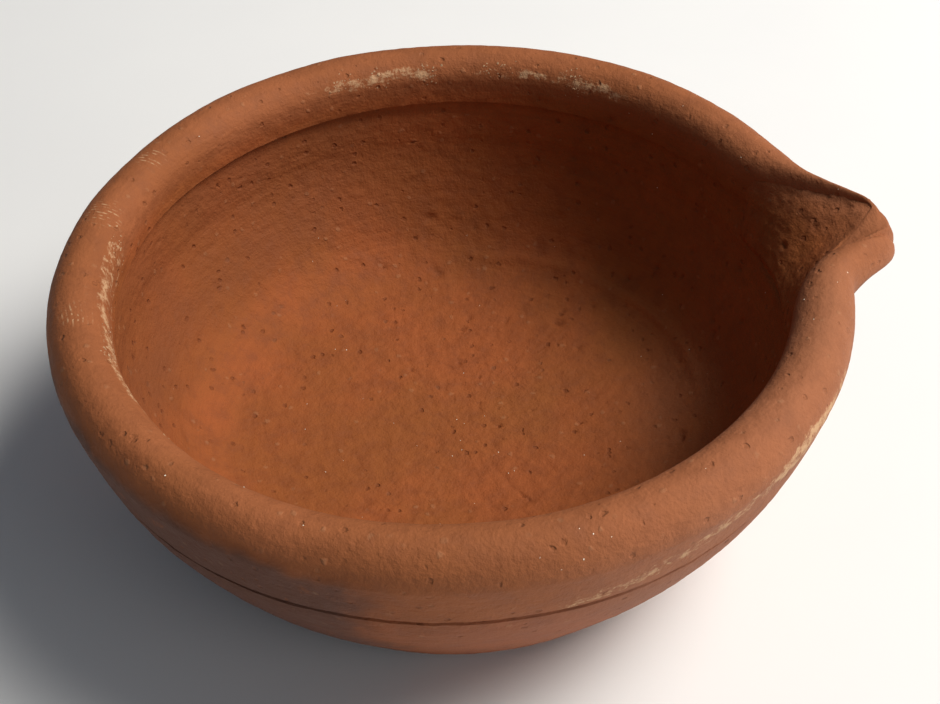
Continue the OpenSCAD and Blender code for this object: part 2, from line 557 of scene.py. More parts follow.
            # Painted shadow in a band under the rim on the far left of the inside.
            shade_far_side = 0.32 * smooth((95.0 - abs(turn_between(angle, 170.0))) / 40.0)
            shade_far_side *= smooth((point.z - 7 * MM) / (7 * MM))
            below_rim = smooth((28 * MM - point.z) / (3 * MM))
            return (shade_by_spout + shade_far_side) * below_rim * (1.0 + 0.3 * noise.noise(point / (7 * MM)))
        # Outside: kiln soot and painted shade low on the left, away from the key light.
        away = abs(turn_between(angle, -142.0))
        wander = 0.22 * noise.noise(point / (6 * MM)) + 0.1 * noise.noise(point / (1.5 * MM))
        low = smooth((30.6 * MM - point.z) / (3.2 * MM) + wander)
        return low * smooth((54.0 - away) / 34.0 + wander)


def opaque(colour: Colour) -> tuple[float, float, float, float]:
    """Return a colour with a full alpha."""
    return (*colour, 1.0)


class Graph:
    """Short ways to add nodes to a shader tree."""

    def __init__(self, tree: bpy.types.NodeTree) -> None:
        """Keep the tree that nodes are added to."""
        self.tree = tree

    def wire(self, made: bpy.types.Node, inputs: dict[str | int, object]) -> bpy.types.Node:
        """Set or link a node's inputs.

        Args:
            made: The node.
            inputs: Values or sockets for its inputs, by name or number.

        Returns:
            The same node.
        """
        for name, value in inputs.items():
            if isinstance(value, bpy.types.NodeSocket):
                self.tree.links.new(value, made.inputs[name])
            else:
                made.inputs[name].default_value = value
        return made

    def node(
        self, kind: str, inputs: dict[str | int, object] | None = None, **settings: object
    ) -> bpy.types.Node:
        """Add a node.

        Args:
            kind: The node's type, without the leading ShaderNode.
            inputs: Values or sockets for its inputs, by name or number.
            **settings: The node's own settings.

        Returns:
            The new node.
        """
        made = self.tree.nodes.new(f"ShaderNode{kind}")
        for name, value in settings.items():
            setattr(made, name, value)
        return self.wire(made, inputs or {})

    def group(self, effect: bpy.types.NodeTree, inputs: dict[str | int, object]) -> bpy.types.Node:
        """Place a shared node group.

        Args:
            effect: The group.
            inputs: Values or sockets for its inputs, by name.

        Returns:
            The new node.
        """
        made = self.tree.nodes.new("ShaderNodeGroup")
        made.node_tree = effect
        return self.wire(made, inputs)

    def math(self, operation: str, a: object, b: object = 0.0, c: object = 0.0) -> Socket:
        """Add a Math node and return its result."""
        return self.node("Math", {0: a, 1: b, 2: c}, operation=operation).outputs[0]

    def times(self, a: object, b: object) -> Socket:
        """Multiply two values."""
        return self.math("MULTIPLY", a, b)

    def vector(self, operation: str, *parts: object, scale: float = 1.0, output: str = "Vector") -> Socket:
        """Add a Vector Math node and return one of its outputs."""
        inputs = {**dict(enumerate(parts)), 3: scale}
        return self.node("VectorMath", inputs, operation=operation).outputs[output]

    def band(self, value: Socket, low: float, high: float) -> Socket:
        """Map a value softly from 0 at low to 1 at high."""
        inputs = {"Value": value, "From Min": low, "From Max": high}
        return self.node("MapRange", inputs, interpolation_type="SMOOTHSTEP").outputs["Result"]

    def blend(self, share: Socket, a: object, b: object) -> Socket:
        """Mix two colours by a share and return the result."""
        return self.node("Mix", {0: share, 6: a, 7: b}, data_type="RGBA").outputs[2]

    def noise(self, vector: Socket, scale: float, detail: float = 3.0, rough: float = 0.5) -> Socket:
        """Add a noise texture and return its value."""
        inputs = {"Vector": vector, "Scale": scale, "Detail": detail, "Roughness": rough}
        return self.node("TexNoise", inputs).outputs["Fac"]

    def surface(self, inputs: dict[str | int, object]) -> None:
        """Add the shader with its inputs, and make it the material's surface."""
        shader = self.node("BsdfPrincipled", inputs)
        self.node("OutputMaterial", {"Surface": shader.outputs[0]})


class EffectGroup(Graph):
    """A shader node group while it is being built."""

    def __init__(self, name: str, takes: dict[str, str], gives: dict[str, str]) -> None:
        """Start the group.

        Args:
            name: The group's name.
            takes: Socket types of its inputs, by name.
            gives: Socket types of its outputs, by name.
        """
        super().__init__(bpy.data.node_groups.new(name, "ShaderNodeTree"))
        for sockets, way in ((takes, "INPUT"), (gives, "OUTPUT")):
            for socket, kind in sockets.items():
                self.tree.interface.new_socket(name=socket, in_out=way, socket_type=f"NodeSocket{kind}")
        self.given = self.tree.nodes.new("NodeGroupInput")

    def take(self, name: str) -> Socket:
        """Return one of the group's inputs."""
        return self.given.outputs[name]

    def give(self, values: dict[str | int, object]) -> bpy.types.NodeTree:
        """Wire the group's outputs, by name, and return the finished group."""
        self.wire(self.tree.nodes.new("NodeGroupOutput"), values)
        return self.tree


def new_material(name: str) -> tuple[bpy.types.Material, Graph]:
    """Start a material with no nodes.

    Args:
        name: The material's name.

    Returns:
        The new material, and a Graph on its tree.
    """
    material = bpy.data.materials.new(name)
    material.use_nodes = True
    material.node_tree.nodes.clear()
    return material, Graph(material.node_tree)


def new_object(name: str, data: bpy.types.ID) -> bpy.types.Object:
    """Make an object of a mesh, a light or a camera, and put it in the scene.

    Args:
        name: The object's name.
        data: What it shows.

    Returns:
        The new object.
    """
    made = bpy.data.objects.new(name, data)
    bpy.context.scene.collection.objects.link(made)
    return made


class ClayEffects:
    """The node groups that every clay shares, built once."""

    def __init__(self) -> None:
        """Build the groups."""
        self.grain = self.build_grain()
        self.wheel = self.build_wheel()
        self.colour = self.build_colour()
        self.prints = self.build_prints()

    def build_grain(self) -> bpy.types.NodeTree:
        """Build the fine grit of fired clay.

        Returns:
            The group, which gives the grit's height, its small pores, which are sunk and have shade painted
            into them, and its pale grains.
        """
        gives = {"Height": "Float", "Pores": "Float", "Grains": "Float"}
        group = EffectGroup("clay_grain", {"Vector": "Vector"}, gives)
        vector = group.take("Vector")
        fine = group.noise(vector, 3600.0, 3.0, 0.65)
        coarse = group.noise(vector, 1300.0, 2.0, 0.5)
        stray = group.node("TexNoise", {"Vector": vector, "Scale": 1500.0}).outputs["Color"]
        place = group.vector("ADD", vector, group.vector("SCALE", stray, scale=0.6 * MM))
        cells = group.node("TexVoronoi", {"Vector": place, "Scale": 900.0}).outputs
        rarity = group.node("SeparateColor", {"Color": cells["Color"]}).outputs
        small = group.band(cells["Distance"], 0.34, 0.12)
        return group.give({
            "Height": group.math("MULTIPLY_ADD", fine, 0.4, group.times(coarse, 0.6)),
            "Pores": group.times(small, group.band(rarity["Red"], 0.72, 0.86)),
            "Grains": group.times(small, group.band(rarity["Green"], 0.8, 0.92)),
        })

    def build_wheel(self) -> bpy.types.NodeTree:
        """Build the lines that run round the bowl, from its radius, height and direction.

        Returns:
            The group, which gives the lines' height.
        """
        group = EffectGroup("wheel_lines", {"Vector": "Vector", "Pitch": "Float"}, {"Height": "Float"})
        parts = group.node("SeparateXYZ", {0: group.take("Vector")}).outputs
        flat = group.node("CombineXYZ", {0: parts[0], 1: parts[1]}).outputs[0]
        radius = group.vector("LENGTH", flat, output="Value")
        spread = group.vector("SCALE", group.vector("NORMALIZE", flat), scale=3.0)
        climb = group.math("MULTIPLY_ADD", radius, 0.6, parts[2])
        turns = group.math("DIVIDE", climb, group.take("Pitch"))
        lift = group.node("CombineXYZ", {2: turns}).outputs[0]
        return group.give({"Height": group.noise(group.vector("ADD", spread, lift), 1.0, 4.0, 0.6)})

    def build_prints(self) -> bpy.types.NodeTree:
        """Build one fingertip's print: short parallel ridges within a round patch.

        Returns:
            The group, which gives the ridges.
        """
        takes = {"Vector": "Vector", "Centre": "Vector", "Across": "Vector", "Reach": "Float"}
        group = EffectGroup("finger_print", takes, {"Ridges": "Float"})
        vector = group.take("Vector")
        gap = group.vector("DISTANCE", vector, group.take("Centre"), output="Value")
        patch = group.band(group.math("DIVIDE", gap, group.take("Reach")), 1.0, 0.35)
        along = group.vector("DOT_PRODUCT", vector, group.take("Across"), output="Value")
        bent = group.math("MULTIPLY_ADD", group.noise(vector, 350.0, 2.0), 0.5 * MM, along)
        wave = group.math("SINE", group.times(bent, 2.0 * math.pi / RIDGE_PITCH))
        broken = group.band(group.noise(vector, 1400.0, 2.0), 0.45, 0.62)
        return group.give({"Ridges": group.times(group.band(wave, 0.2, 0.9), group.times(patch, broken))})

    def build_colour(self) -> bpy.types.NodeTree:
        """Build the clay's colour, layer over layer, from the firing's mottling to the painted shade in the
        pores and pits.

        Returns:
            The group, which gives the colour and the roughness.
        """
        tints = ("Base", "Warm", "Dark", "Pale Colour", "Soot Colour", "Scorch And Shade Colour", "Dust And Light Colour")
        marks = ("Pale", "Soot And Shade", "Pit Shade", "Dust And Painted Light", "Pores", "Grains", "Lines")
        takes = {"Vector": "Vector", **dict.fromkeys(tints, "Color"), **dict.fromkeys(marks, "Float")}
        group = EffectGroup("clay_colour", takes, {"Color": "Color", "Roughness": "Float"})
        vector = group.take("Vector")
        colour, warm, dark, slip, soot_and_shade, scorch_and_shade, dust_light_tint = (group.take(name) for name in tints)
        rubbed, sooted_and_shaded, pit_shaded, dusted_and_lit, pore_shade, grains, lines = (group.take(name) for name in marks)
        broad = group.band(group.noise(vector, 70.0, 3.0), 0.35, 0.68)
        mottle = group.band(group.noise(vector, 420.0, 4.0, 0.65), 0.38, 0.7)
        sooty_and_shaded = group.times(sooted_and_shaded, group.band(group.noise(vector, 300.0, 5.0, 0.7), 0.1, 0.5))
        broken = group.math("MULTIPLY_ADD", lines, 0.25, group.noise(vector, 900.0, 5.0, 0.75))
        worn = group.band(group.math("MULTIPLY_ADD", rubbed, 0.42, broken), 0.93, 1.13)
        pale = group.times(worn, group.band(rubbed, 0.02, 0.5))
        layers = (
            (broad, warm),
            (group.times(mottle, 0.38), dark),
            # Painted shade along the troughs of the wheel lines.
            (group.times(group.band(lines, 0.6, 0.38), 0.13), dark),
            # Pale tint of dust with painted sheen and bounce light.
            (group.times(dusted_and_lit, group.math("MULTIPLY_ADD", mottle, -0.15, 0.38)), dust_light_tint),
            # Scorch and soot colours on the soot mask: painted shade inside the bowl, soot with painted
            # shade outside.
            (group.times(group.band(sooted_and_shaded, 0.0, 0.45), 0.7), scorch_and_shade),
            (group.band(sooty_and_shaded, 0.2, 0.85), soot_and_shade),
            (pale, slip),
            (group.times(grains, 0.14), slip),
            # Painted shade in the pores and pits.
            (group.math("MAXIMUM", group.times(pore_shade, 0.6), group.times(pit_shaded, 0.36)), dark),
        )
        for share, tint in layers:
            colour = group.blend(share, colour, tint)
        rough = group.math("MULTIPLY_ADD", mottle, -0.1, group.math("MULTIPLY_ADD", pale, 0.08, 0.82))
        return group.give({"Color": colour, "Roughness": rough})


@dataclass(frozen=True)
class FingerPrint:
    """A fingertip's print on the rim: its place, the way across its ridges and its size."""

    place: Vector
    across: Vector
    reach: float


@dataclass(frozen=True)
class ClayTone:
    """The colours that a clay is mottled with."""

    base: Colour
    warm: Colour
    dark: Colour


INSIDE_TONE = ClayTone((0.295, 0.086, 0.020), (0.350, 0.092, 0.024), (0.17, 0.042, 0.011))
RIM_TONE = ClayTone((0.312, 0.098, 0.032), (0.352, 0.112, 0.040), (0.21, 0.062, 0.020))
FOOT_TONE = ClayTone((0.290, 0.096, 0.040), (0.335, 0.106, 0.044), (0.19, 0.056, 0.022))


@dataclass(frozen=True)
class ClayFinish:
    """One member's clay: its tones inside and out, and how deep its fine relief goes."""

    name: str
    outside: ClayTone
    inside: ClayTone = INSIDE_TONE
    pale: Colour = (0.56, 0.33, 0.18)
    # The soot and scorch colours also paint shade wherever the soot mask marks it.
    soot_and_shade: Colour = (0.118, 0.046, 0.027)
    scorch_and_shade: Colour = (0.23, 0.066, 0.018)
    # Dust colour, which also paints sheen and bounce light on the outside's right.
    dust_light_tint: Colour = (0.44, 0.24, 0.165)
    # How strongly shade is painted into the pores.
    pore_shade: float = 1.0
    grain_depth: float = 0.24 * MM
    line_depth: float = 0.045 * MM
    line_pitch: float = 0.5 * MM
    pore_depth: float = 0.12 * MM
    grit_rise: float = 0.05 * MM
    print_strength: float = 0.75
    gloss: float = 0.28
    prints: tuple[FingerPrint, ...] = ()

    def build(self, effects: ClayEffects) -> bpy.types.Material:
        """Build the material.

        Args:
            effects: The shared node groups.

        Returns:
            The new material.
        """
        material, graph = new_material(self.name)
        vector = graph.node("TexCoord").outputs["Object"]
        grain = graph.group(effects.grain, {"Vector": vector}).outputs
        wheel = graph.group(effects.wheel, {"Vector": vector, "Pitch": self.line_pitch}).outputs
        masks = {mask: graph.node("Attribute", attribute_name=mask.value).outputs["Fac"] for mask in Mask}
        tones = {}
        for part in ("base", "warm", "dark"):
            outside, inside = opaque(getattr(self.outside, part)), opaque(getattr(self.inside, part))
            tones[part.capitalize()] = graph.blend(masks[Mask.INNER], outside, inside)
        colour = graph.group(effects.colour, {
            "Vector": vector, **tones,
            "Pale Colour": opaque(self.pale), "Soot Colour": opaque(self.soot_and_shade),
            "Scorch And Shade Colour": opaque(self.scorch_and_shade), "Dust And Light Colour": opaque(self.dust_light_tint),
            "Pale": masks[Mask.PALE], "Soot And Shade": masks[Mask.SOOT_AND_SHADE],
            "Dust And Painted Light": masks[Mask.BLOOM], "Pit Shade": masks[Mask.PIT_SHADE],
            "Pores": graph.times(grain["Pores"], self.pore_shade),
            "Grains": grain["Grains"], "Lines": wheel["Height"],
        }).outputs
        base = colour["Color"]
        for mark in self.prints:
            spots = graph.group(effects.prints, {
                "Vector": vector, "Centre": mark.place, "Across": mark.across, "Reach": mark.reach,
            })
            share = graph.times(spots.outputs["Ridges"], self.print_strength)
            base = graph.blend(share, base, opaque(self.pale))
        height = graph.times(grain["Height"], self.grain_depth / MM)
        for mark, rise in (
            (wheel["Height"], self.line_depth), (grain["Pores"], -self.pore_depth),
            (grain["Grains"], self.grit_rise),
        ):
            height = graph.math("MULTIPLY_ADD", mark, rise / MM, height)
        raised = graph.node("Bump", {"Strength": 1.0, "Distance": MM, "Height": height})
        graph.surface({
            "Base Color": base, "Roughness": colour["Roughness"], "Normal": raised.outputs[0],
            "Specular IOR Level": self.gloss,
        })
        return material


@dataclass
class ClayMember:
    """A member of the lamp: turned from its outline, drawn out, worked over and dressed."""

    form: LampForm
    hand: MakerHand
    member: Member
    slot: Slot
    material: bpy.types.Material
    spacing: float = 0.36 * MM
    settled: float = 0.0
    surface: list[tuple[Vector, Vector]] = field(default_factory=list)

    def outline(self) -> Outline:
        """Return the member's plain outline, as (radius, height)."""
        raise NotImplementedError

    def place(self, angle: float, r: float, z: float) -> tuple[float, float]:
        """Return where a point of the plain outline lies at an angle."""
        raise NotImplementedError

    def turn(self) -> bmesh.types.BMesh:
        """Spin the outline round the bowl's axis.

        Returns:
            The closed solid.
        """
        solid = bmesh.new()
        row = solid.verts.layers.float.new("row")
        points = [solid.verts.new((r, 0.0, z)) for r, z in self.outline()]
        closed = (points[0].co - points[-1].co).length < 1e-9
        for index, point in enumerate(points):
            point[row] = index % (len(points) - 1) if closed else index
        edges = [solid.edges.new(pair) for pair in zip(points, points[1:])]
        if closed:
            bmesh.ops.pointmerge(solid, verts=[points[0], points[-1]], merge_co=points[0].co)
            edges = solid.edges[:]
        bmesh.ops.spin(
            solid, geom=solid.verts[:] + edges, cent=(0, 0, 0), axis=(0, 0, 1),
            angle=2.0 * math.pi, steps=SPIN_STEPS, use_merge=True,
        )
        bmesh.ops.remove_doubles(solid, verts=solid.verts[:], dist=1e-8)
        hoops = [edge for edge in solid.edges if self.is_hoop(edge)]
        bmesh.ops.subdivide_edges(solid, edges=hoops, cuts=CUTS_PER_STEP, use_grid_fill=True)
        half = 180.0 / SPIN_STEPS
        for vert in solid.verts:
            angle, radius = polar(vert.co)
            round_radius = radius * math.cos(math.radians(angle % (2 * half) - half))
            round_radius /= math.cos(math.radians(half))
            crowded = angle - CROWDING * math.degrees(math.sin(math.radians(angle)))
            vert.co = around(self.form.channel_middle + crowded, round_radius, vert.co.z)
        solid.verts.sort(key=lambda vert: 360.0 * round(vert[row]) + polar(vert.co)[0])
        solid.verts.layers.float.remove(row)
        return solid

    @staticmethod
    def is_hoop(edge: bmesh.types.BMEdge) -> bool:
        """Tell whether an edge runs round the bowl rather than along the outline.

        Args:
            edge: An edge of the turned solid.

        Returns:
            True if it runs round the bowl.
        """
        a, b = (vert.co for vert in edge.verts)
        level = abs(a.z - b.z) < 1e-9 and abs(math.hypot(a.x, a.y) - math.hypot(b.x, b.y)) < 1e-8
        return level and (a - b).length > 1e-7

    def draw_out(self, solid: bmesh.types.BMesh) -> None:
        """Move the turned points to where the drawn-out form has them.

        Args:
            solid: The turned solid.
        """
        for vert in solid.verts:
            angle, radius = polar(vert.co)
            new_r, new_z = self.place(angle, radius, vert.co.z)
            vert.co = around(angle, new_r, new_z)

    def work_over(self, solid: bmesh.types.BMesh) -> None:
        """Press the maker's marks into the clay, and keep the masks that its colours read.

        Args:
            solid: The drawn-out solid.
        """
        layers = {mask: solid.verts.layers.float.new(mask.value) for mask in Mask}
        for vert in solid.verts:
            angle, radius = polar(vert.co)
            out_r, out_z, side = away_from(self.form.core(angle), radius, vert.co.z)
            point = vert.co.copy()
            move, pit = self.hand.relief(point, side)
            up = move * out_z - self.form.pressed(point, self.settled)
            vert.co = around(angle, max(0.0, radius + move * out_r), max(0.0, point.z + up))
            below_rim = smooth((self.hand.rim_from - point.z) / (2.2 * MM))
            marks = {
                Mask.INNER: below_rim if side > 0 else 0.0,
                Mask.PALE: self.hand.pale(point, side),
                Mask.SOOT_AND_SHADE: self.hand.soot_and_shade(point, side),
                Mask.BLOOM: self.hand.dust_and_painted_light(point, side),
                Mask.PIT_SHADE: pit,
            }
            for mask, amount in marks.items():
                vert[layers[mask]] = amount

    def build(self) -> bpy.types.Object:
        """Build the member, dress it and set it in the frame.

        Returns:
            The new piece.
        """
        solid = self.turn()
        self.draw_out(solid)
        self.work_over(solid)
        bmesh.ops.recalc_face_normals(solid, faces=solid.faces[:])
        piece = finish_piece(solid, self.member.value + "_clay", self.material)
        self.surface = [(v.co.copy(), v.normal.copy()) for v in piece.data.vertices]
        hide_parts(self.member.value)
        return piece


def finish_piece(
    solid: bmesh.types.BMesh, name: str, material: bpy.types.Material
) -> bpy.types.Object:
    """Make an object of a bmesh and let it ride on the lamp.

    Args:
        solid: The shape, which is freed.
        name: The new object's name.
        material: What it is dressed with.

    Returns:
        The new object.
    """
    for face in solid.faces:
        face.smooth = True
    mesh = bpy.data.meshes.new(name)
    solid.to_mesh(mesh)
    solid.free()
    mesh.set_sharp_from_angle(angle=math.radians(SHARP_ANGLE))
    mesh.materials.append(material)
    piece = new_object(name, mesh)
    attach(piece, BODY)
    LOG.info("%s: %d points, %d faces", name, len(mesh.vertices), len(mesh.polygons))
    return piece


@dataclass
class Saucer(ClayMember):
    """Foot, floor and lower side, up to the groove."""

    spacing: float = 0.47 * MM
    side_spacing: float = 0.85 * MM
    foot_spacing: float = 2.6 * MM
    side_points: int = 23
    fillet: float = 4.5 * MM

    def outline(self) -> Outline:
        """Set out the outline from the middle of the foot, out and up, to the middle of the floor.

        Returns:
            The outline.
        """
        form = self.form
        count = self.side_points
        foot = [
            (0.0, 0.0), (form.foot_r - 2 * form.foot_bevel, 0.0),
            (form.foot_r - form.foot_bevel, 0.12 * MM),
        ]
        side = []
        for i in range(1, count + 1):
            t = mix(0.035, 1.0, i / count)
            radius = mix(form.foot_r, form.saucer_r, 1 - (1 - t) ** form.side_bend)
            side.append((radius, form.saucer_top_z * t))
        groove = [
            (form.saucer_r - 0.1 * MM, form.saucer_top_z + 0.12 * MM),
            (form.groove_r, form.saucer_top_z + form.groove_h / 2),
            (form.groove_r, form.groove_top_z),
            (form.seam_in_r, form.seam_in_z),
        ]
        inside = []
        for i in range(count - 1, -1, -1):
            t = i / count
            radius = mix(form.ridge_r, form.seam_in_r, 1 - (1 - t) ** form.inside_bend)
            inside.append((radius, mix(form.floor_z, form.seam_in_z, t)))
        floor = [(form.ridge_r * i / count, form.floor_t + form.ridge_rise * (i / count) ** 2)
                 for i in range(count - 1, -1, -1)]
        outer = refined(foot, self.foot_spacing)[:-1] + refined([foot[-1]] + side, self.side_spacing)[:-1]
        return outer + refined([side[-1]] + groove + self.eased(inside + floor), self.spacing)

    def eased(self, inner: Outline) -> Outline:
        """Round the turn from the side to the floor.

        Args:
            inner: The outline of the side's inside and the floor.

        Returns:
            The same outline with a fillet at the ridge.
        """
        form = self.form
        far = [math.hypot(r - form.ridge_r, z - form.floor_z) > self.fillet for r, z in inner]
        first, last = far.index(False), len(far) - 1 - far[::-1].index(False)
        (r0, z0), (r2, z2) = inner[first - 1], inner[last + 1]
        bend = []
        for i in range(1, 12):
            t = i / 12
            a, b, c = (1 - t) ** 2, 2 * t * (1 - t), t * t
            bend.append((a * r0 + b * form.ridge_r + c * r2, a * z0 + b * form.floor_z + c * z2))
        return inner[:first] + bend + inner[last + 1:]

    def place(self, angle: float, r: float, z: float) -> tuple[float, float]:
        """Close the groove here and there.

        Args:
            angle: The angle round the bowl, in degrees.
            r: The radius of a point of the plain outline.
            z: Its height.

        Returns:
            The radius and height of that point at the angle.
        """
        form = self.form
        if r > form.groove_r - 0.1 * MM and z > form.saucer_top_z + 0.2 * MM:
            spot = around(angle, form.saucer_r, 0.0)
            wander = noise.noise(spot / (6 * MM)) + 0.6 * noise.noise(spot / (1.2 * MM))
            deep = smooth((46.0 - abs(turn_between(angle, -106.0))) / 34.0)
            fill = smooth(0.8 - 0.5 * deep + 0.85 * wander)
            return r + fill * (form.saucer_r - 0.05 * MM - r), z
        return r, z


@dataclass
class BowlWall(ClayMember):
    """The ring of wall between the saucer and the rim coil."""

    def outline(self) -> Outline:
        """Set out the ring.

        Returns:
            The closed outline.
        """
        form = self.form
        corners = [
            (form.wall_foot_r, form.seam_z), (form.wall_top_r, form.seat_z),
            (form.wall_top_r - form.wall_top_t, form.seat_z),
        ]
        steps = 14
        inside = [(form.wall_in(180.0, z), z) for z in
                  (mix(form.seat_z, form.seam_in_z, i / steps) for i in range(1, steps + 1))]
        return refined(corners + inside + [corners[0]], self.spacing)

    def place(self, angle: float, r: float, z: float) -> tuple[float, float]:
        """Swell the wall out under the spout.

        Args:
            angle: The angle round the bowl, in degrees.
            r: The radius of a point of the plain outline.
            z: Its height.

        Returns:
            The radius and height of that point at the angle.
        """
        form = self.form
        z_out = max(z, form.seam_z)
        plain_in, plain_out = form.wall_in(180.0, z), form.wall_out(180.0, z_out)
        share = (r - plain_in) / (plain_out - plain_in)
        return mix(form.wall_in(angle, z), form.wall_out(angle, z_out), share), z


@dataclass
class RimCoil(ClayMember):
    """The thick rolled rim, drawn out and thinned into the spout's two lips."""

    spacing: float = 0.3 * MM
    roll_points: int = 24

    def outline(self) -> Outline:
        """Set out the coil.

        Returns:
            The closed outline.
        """
        form = self.form
        crest_r = form.belly_r - form.rim_w / 2
        belly_z, lip_z = form.height - form.belly_drop, form.height - form.lip_drop
        quarter = [math.radians(90.0 * i / self.roll_points) for i in range(self.roll_points + 1)]
        outer = [
            (mix(crest_r, form.belly_r, math.cos(t)), mix(belly_z, form.height, math.sin(t)))
            for t in quarter
        ]
        inner = [
            (mix(crest_r, form.lip_in_r, math.sin(t)), mix(lip_z, form.height, math.cos(t)))
            for t in quarter[1:]
        ]
        seat = [(form.lip_in_r, form.seat_z), (form.wall_top_r, form.seat_z)]
        return refined(seat + outer + inner + [seat[0]], self.spacing)

    def place(self, angle: float, r: float, z: float) -> tuple[float, float]:
        """Draw the coil out into the spout, and open the channel through it.

        Args:
            angle: The angle round the bowl, in degrees.
            r: The radius of a point of the plain outline.
            z: Its height.

        Returns:
            The radius and height of that point at the angle.
        """
        form = self.form
        plain_belly, plain_lip = form.height - form.belly_drop, form.height - form.lip_drop
        top, lip = form.coil_top(angle), form.coil_lip_z(angle)
        belly = top - form.belly_drop
        rise = min(1.0, (z - form.seat_z) / (plain_belly - form.seat_z))
        plain_out = mix(form.wall_top_r, form.belly_r, rise)
        out = mix(form.wall_out(angle, form.seat_z), form.coil_out(angle), rise)
        share = (r - form.lip_in_r) / (plain_out - form.lip_in_r)
        outside = r > form.belly_r - form.rim_w / 2
        plain_turn, turn = (plain_belly, belly) if outside else (plain_lip, lip)
        if z <= plain_turn:
            new_z = mix(form.seat_z, turn, (z - form.seat_z) / (plain_turn - form.seat_z))
        else:
            new_z = mix(turn, top, (z - plain_turn) / (form.height - plain_turn))
        return mix(form.coil_in(angle), out, share), new_z


@dataclass
class SpoutBed(ClayMember):
    """The strip pressed in between the lips, which rises to the tip."""

    across_steps: int = 150
    up_steps: int = 56
    thickness: float = 0.7 * MM
    settled: float = 0.14 * MM
    bury: float = 0.35 * MM
    far_lift: float = 0.85 * MM
    line_depth: float = 0.16 * MM
    lump_height: float = 0.11 * MM

    def face(self, angle: float, t: float) -> tuple[float, float, float]:
        """Work out a point of the bed's face.

        Args:
            angle: The angle round the bowl, in degrees.
            t: How far up the bed, from 0 at its foot to 1 at its edge.

        Returns:
            The point's radius and height, and how far it stands clear of the bed's borders, from 0 to 1.
        """
        form = self.form
        away = turn_between(angle, form.channel_middle)
        lift = self.far_lift * hump(away, 7.0, 8.0)
        edge_z = form.coil_lip_z(angle) - form.bed_sink + lift
        z = mix(form.seam_in_z, edge_z, t)
        proud = mix(form.seam_in_r - form.bed_t, form.coil_roll(angle, edge_z), t**form.bed_bend)
        behind = form.wall_in(angle, z) if z < form.seat_z else form.coil_roll(angle, z)
        clear = smooth(t / 0.2) * smooth((form.bed_half_angle - abs(away)) / 4.0)
        return mix(behind + self.bury, proud, clear), z, clear

    def marks(self, angle: float, t: float, point: Vector) -> float:
        """Find how far the bed is dug away, under the far lip and along its upright lines.

        Args:
            angle: The angle round the bowl, in degrees.
            t: How far up the bed, from 0 at its foot to 1 at its edge.
            point: The point of the bed's face.

        Returns:
            The depth dug away at the point.
        """
        away = turn_between(angle, self.form.channel_middle)
        ragged = 0.65 + 0.6 * noise.noise(point / (0.8 * MM))
        under_far_lip = smooth((t - 0.8) / 0.17) * smooth((away - 0.6) / 1.5) * smooth((11.0 - away) / 4.0)
        lines = max(hump(away, middle, 0.55) for middle in (-9.0, 8.0, 12.0))
        crack = self.hand.crack_depth * under_far_lip * ragged
        return crack + self.line_depth * lines * smooth((0.8 - t) / 0.3)

    def turn(self) -> bmesh.types.BMesh:
        """Lay a grid over the bed's face and give it a back.

        Returns:
            The strip.
        """
        solid = bmesh.new()
        bmesh.ops.create_grid(solid, x_segments=self.across_steps, y_segments=self.up_steps, size=1.0)
        for vert in solid.verts:
            away = math.copysign(abs(vert.co.x) ** 1.35, vert.co.x) * self.form.bed_half_angle
            angle = self.form.channel_middle + away
            t = (vert.co.y + 1.0) / 2.0
            r, z, clear = self.face(angle, t)
            point = around(angle, r, z)
            lump = self.lump_height * clear * noise.fractal(point / (1.6 * MM), 0.8, 2.1, 3)
            vert.co = around(angle, r + self.marks(angle, t, point) + lump, z)
        made = bmesh.ops.extrude_face_region(solid, geom=solid.faces[:], use_keep_orig=True)
        for vert in (part for part in made["geom"] if isinstance(part, bmesh.types.BMVert)):
            angle, radius = polar(vert.co)
            vert.co = around(angle, radius + self.thickness, vert.co.z - self.thickness / 2)
        return solid

    def draw_out(self, solid: bmesh.types.BMesh) -> None:
        """Leave the strip as it was laid."""


@dataclass
class Speckle:
    """Small solid bits set into the clay's surface, all in one piece."""

    name: str
    material: bpy.types.Material
    slot: Slot
    seed: int
    count: int
    size: tuple[float, float]
    flatness: float
    sink: float
    where: Callable[[Vector, Vector], float]
    placed: tuple[Vector, ...] = ()
    stray: float = 0.4 * MM
    lumpiness: float = 0.22

    def build(self, surface: list[tuple[Vector, Vector]]) -> bpy.types.Object:
        """Scatter the bits over a surface.

        Args:
            surface: Points of the clay, each with the way out of the clay.

        Returns:
            The new piece.
        """
        draw = random.Random(self.seed)
        bits = bmesh.new()
        chosen = [min(surface, key=lambda spot: (spot[0] - place).length_squared) for place in self.placed]
        while len(chosen) < self.count + len(self.placed):
            spot = surface[draw.randrange(len(surface))]
            if draw.random() < self.where(*spot):
                chosen.append(spot)
        for point, outward in chosen:
            size = draw.uniform(*self.size)
            aside = Vector(draw.uniform(-1.0, 1.0) for _ in range(3)) * self.stray
            point = point + aside - outward * aside.dot(outward)
            turn = outward.to_track_quat("Z", "Y").to_matrix().to_4x4()
            spin = Matrix.Rotation(draw.uniform(0.0, 2.0 * math.pi), 4, "Z")
            shape = Matrix.Diagonal((size, size * draw.uniform(0.55, 1.0), size * self.flatness, 1.0))
            place = Matrix.Translation(point - outward * size * self.sink) @ turn @ spin @ shape
            made = bmesh.ops.create_icosphere(bits, subdivisions=1, radius=1.0, matrix=place)
            for vert in made["verts"]:
                vert.co += size * self.lumpiness * Vector(draw.uniform(-1.0, 1.0) for _ in range(3))
        bmesh.ops.recalc_face_normals(bits, faces=bits.faces[:])
        return finish_piece(bits, self.name, self.material)


